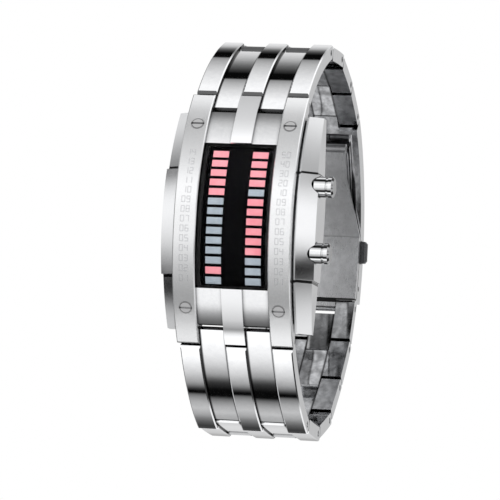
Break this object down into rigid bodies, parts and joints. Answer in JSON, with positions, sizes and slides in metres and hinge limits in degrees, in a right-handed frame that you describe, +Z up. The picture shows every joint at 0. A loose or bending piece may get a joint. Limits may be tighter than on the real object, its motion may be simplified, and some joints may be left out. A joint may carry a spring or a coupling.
{
  "type": "binary wristwatch",
  "caption": "Rectangular wristwatch with two columns of light bars on its face, a five-strip metal bracelet and a folding clasp.",
  "frame": {"origin": "middle of the case back's outer face, where the watch rests on the wrist", "axes": "+X toward the push buttons, +Y from the display back through the wrist loop, +Z up toward the upper end of the display"},
  "size_m": [0.0324, 0.0766, 0.0784],
  "materials": {
    "case_steel": "satin",
    "rail_steel": "satin",
    "screw_steel": "satin",
    "bar_steel": "polished",
    "wing_steel": "satin",
    "button_steel": "polished",
    "pin_steel": "satin",
    "link_steel": "polished",
    "clasp_steel": "polished",
    "blade_steel": "satin",
    "catch_steel": "satin",
    "window_glass": "clear",
    "mask_black": "matte",
    "lit_bar": "translucent",
    "unlit_bar": "translucent",
    "seal_rubber": "matte",
    "led_yellow": "gloss",
    "board_green": "gloss",
    "chip_black": "matte",
    "can_nickel": "satin",
    "spring_brass": "satin",
    "holder_plastic": "matte"
  },
  "bodies": {
    "case": {"case_body": "case_steel", "case_pins": "pin_steel", "case_back": "case_steel", "back_gasket": "seal_rubber", "back_screws": "screw_steel", "left_rail": "rail_steel", "right_rail": "rail_steel", "rail_screws": "screw_steel", "upper_centre_bar": "bar_steel", "lower_centre_bar": "bar_steel", "left_wing": "wing_steel", "right_wing": "wing_steel", "display_glass": "window_glass", "display_gasket": "seal_rubber", "light_box": "mask_black", "lit_light_bars": "lit_bar", "unlit_light_bars": "unlit_bar", "led_chips": "led_yellow", "circuit_board": "board_green", "push_switches": "chip_black", "controller_chip": "chip_black", "quartz_can": "can_nickel", "coin_cell": "can_nickel", "battery_clip": "spring_brass", "movement_holder": "holder_plastic", "button_tubes": "pin_steel", "button_seals": "seal_rubber"},
    "upper_button": {"upper_button": "button_steel", "upper_button_clip": "pin_steel"},
    "lower_button": {"lower_button": "button_steel", "lower_button_clip": "pin_steel"},
    "upper_link_1": {"upper_link_1": "link_steel", "upper_pin_1": "pin_steel"},
    "upper_link_2": {"upper_link_2": "link_steel", "upper_pin_2": "pin_steel"},
    "upper_link_3": {"upper_link_3": "link_steel", "upper_pin_3": "pin_steel"},
    "upper_link_4": {"upper_link_4": "link_steel", "upper_pin_4": "pin_steel"},
    "lower_link_1": {"lower_link_1": "link_steel", "lower_pin_1": "pin_steel"},
    "lower_link_2": {"lower_link_2": "link_steel", "lower_pin_2": "pin_steel"},
    "lower_link_3": {"lower_link_3": "link_steel", "lower_pin_3": "pin_steel"},
    "lower_link_4": {"lower_link_4": "link_steel", "lower_pin_4": "pin_steel"},
    "lower_link_5": {"lower_link_5": "link_steel", "lower_pin_5": "pin_steel"},
    "lower_link_6": {"lower_link_6": "link_steel", "lower_pin_6": "pin_steel"},
    "clasp_cover": {"clasp_cover": "clasp_steel", "cover_hinge_pin": "pin_steel"},
    "outer_blade": {"outer_blade": "blade_steel", "blade_hinge_pin": "pin_steel"},
    "inner_blade": {"inner_blade": "blade_steel"},
    "left_clasp_button": {"left_clasp_button": "catch_steel"},
    "right_clasp_button": {"right_clasp_button": "catch_steel"}
  },
  "joints": [
    {"name": "clasp_fold", "type": "hinge", "parent": "clasp_cover", "child": "outer_blade", "pos_m": [0, 0.06239, -0.00607], "axis": [1, 0, 0], "range_deg": [0, 165]},
    {"name": "blade_fold", "type": "hinge", "parent": "outer_blade", "child": "inner_blade", "pos_m": [0, 0.05332, 0.02226], "axis": [-1, 0, 0], "range_deg": [0, 160]},
    {"name": "upper_hinge_1", "type": "hinge", "parent": "case", "child": "upper_link_1", "pos_m": [0, -0.001, 0.0223], "axis": [1, 0, 0], "range_deg": [-40, 45]},
    {"name": "upper_hinge_2", "type": "hinge", "parent": "upper_link_1", "child": "upper_link_2", "pos_m": [0, 0.01841, 0.03629], "axis": [1, 0, 0], "range_deg": [-40, 22]},
    {"name": "upper_hinge_3", "type": "hinge", "parent": "upper_link_2", "child": "upper_link_3", "pos_m": [0, 0.02983, 0.03701], "axis": [1, 0, 0], "range_deg": [-40, 23]},
    {"name": "upper_hinge_4", "type": "hinge", "parent": "upper_link_3", "child": "upper_link_4", "pos_m": [0, 0.04059, 0.03371], "axis": [1, 0, 0], "range_deg": [-40, 14]},
    {"name": "upper_hinge_5", "type": "hinge", "parent": "upper_link_4", "child": "clasp_cover", "pos_m": [0, 0.05009, 0.02861], "axis": [1, 0, 0], "range_deg": [-40, 16]},
    {"name": "lower_hinge_1", "type": "hinge", "parent": "case", "child": "lower_link_1", "pos_m": [0, -0.001, -0.0223], "axis": [-1, 0, 0], "range_deg": [-40, 44]},
    {"name": "lower_hinge_2", "type": "hinge", "parent": "lower_link_1", "child": "lower_link_2", "pos_m": [0, 0.01762, -0.03739], "axis": [-1, 0, 0], "range_deg": [-40, 24]},
    {"name": "lower_hinge_3", "type": "hinge", "parent": "lower_link_2", "child": "lower_link_3", "pos_m": [0, 0.02897, -0.03849], "axis": [-1, 0, 0], "range_deg": [-40, 25]},
    {"name": "lower_hinge_4", "type": "hinge", "parent": "lower_link_3", "child": "lower_link_4", "pos_m": [0, 0.03993, -0.03519], "axis": [-1, 0, 0], "range_deg": [-40, 26]},
    {"name": "lower_hinge_5", "type": "hinge", "parent": "lower_link_4", "child": "lower_link_5", "pos_m": [0, 0.04858, -0.02789], "axis": [-1, 0, 0], "range_deg": [-40, 10]},
    {"name": "lower_hinge_6", "type": "hinge", "parent": "lower_link_5", "child": "lower_link_6", "pos_m": [0, 0.0563, -0.01942], "axis": [-1, 0, 0], "range_deg": [-40, 22]},
    {"name": "upper_button_press", "type": "slide", "parent": "case", "child": "upper_button", "axis": [-1, 0, 0], "range_m": [0, 0.0008], "stiffness_N_per_m": 1000},
    {"name": "lower_button_press", "type": "slide", "parent": "case", "child": "lower_button", "axis": [-1, 0, 0], "range_m": [0, 0.0008], "stiffness_N_per_m": 1000},
    {"name": "left_clasp_press", "type": "slide", "parent": "clasp_cover", "child": "left_clasp_button", "axis": [1, 0, 0], "range_m": [0, 0.0005], "stiffness_N_per_m": 1000},
    {"name": "right_clasp_press", "type": "slide", "parent": "clasp_cover", "child": "right_clasp_button", "axis": [-1, 0, 0], "range_m": [0, 0.0005], "stiffness_N_per_m": 1000}
  ],
  "couplings": [
    {"joint": "blade_fold", "follows": "clasp_fold", "ratio": 0.92},
    {"joint": "upper_hinge_1", "follows": "clasp_fold", "ratio": 0.035},
    {"joint": "upper_hinge_2", "follows": "clasp_fold", "ratio": 0.02},
    {"joint": "upper_hinge_3", "follows": "clasp_fold", "ratio": 0.02},
    {"joint": "upper_hinge_4", "follows": "clasp_fold", "ratio": 0.015},
    {"joint": "upper_hinge_5", "follows": "clasp_fold", "ratio": 0.015},
    {"joint": "lower_hinge_1", "follows": "clasp_fold", "ratio": 0.187},
    {"joint": "lower_hinge_2", "follows": "clasp_fold", "ratio": 0.083},
    {"joint": "lower_hinge_3", "follows": "clasp_fold", "ratio": 0.09},
    {"joint": "lower_hinge_4", "follows": "clasp_fold", "ratio": 0.096},
    {"joint": "lower_hinge_5", "follows": "clasp_fold", "ratio": 0.012},
    {"joint": "lower_hinge_6", "follows": "clasp_fold", "ratio": 0.075}
  ]
}
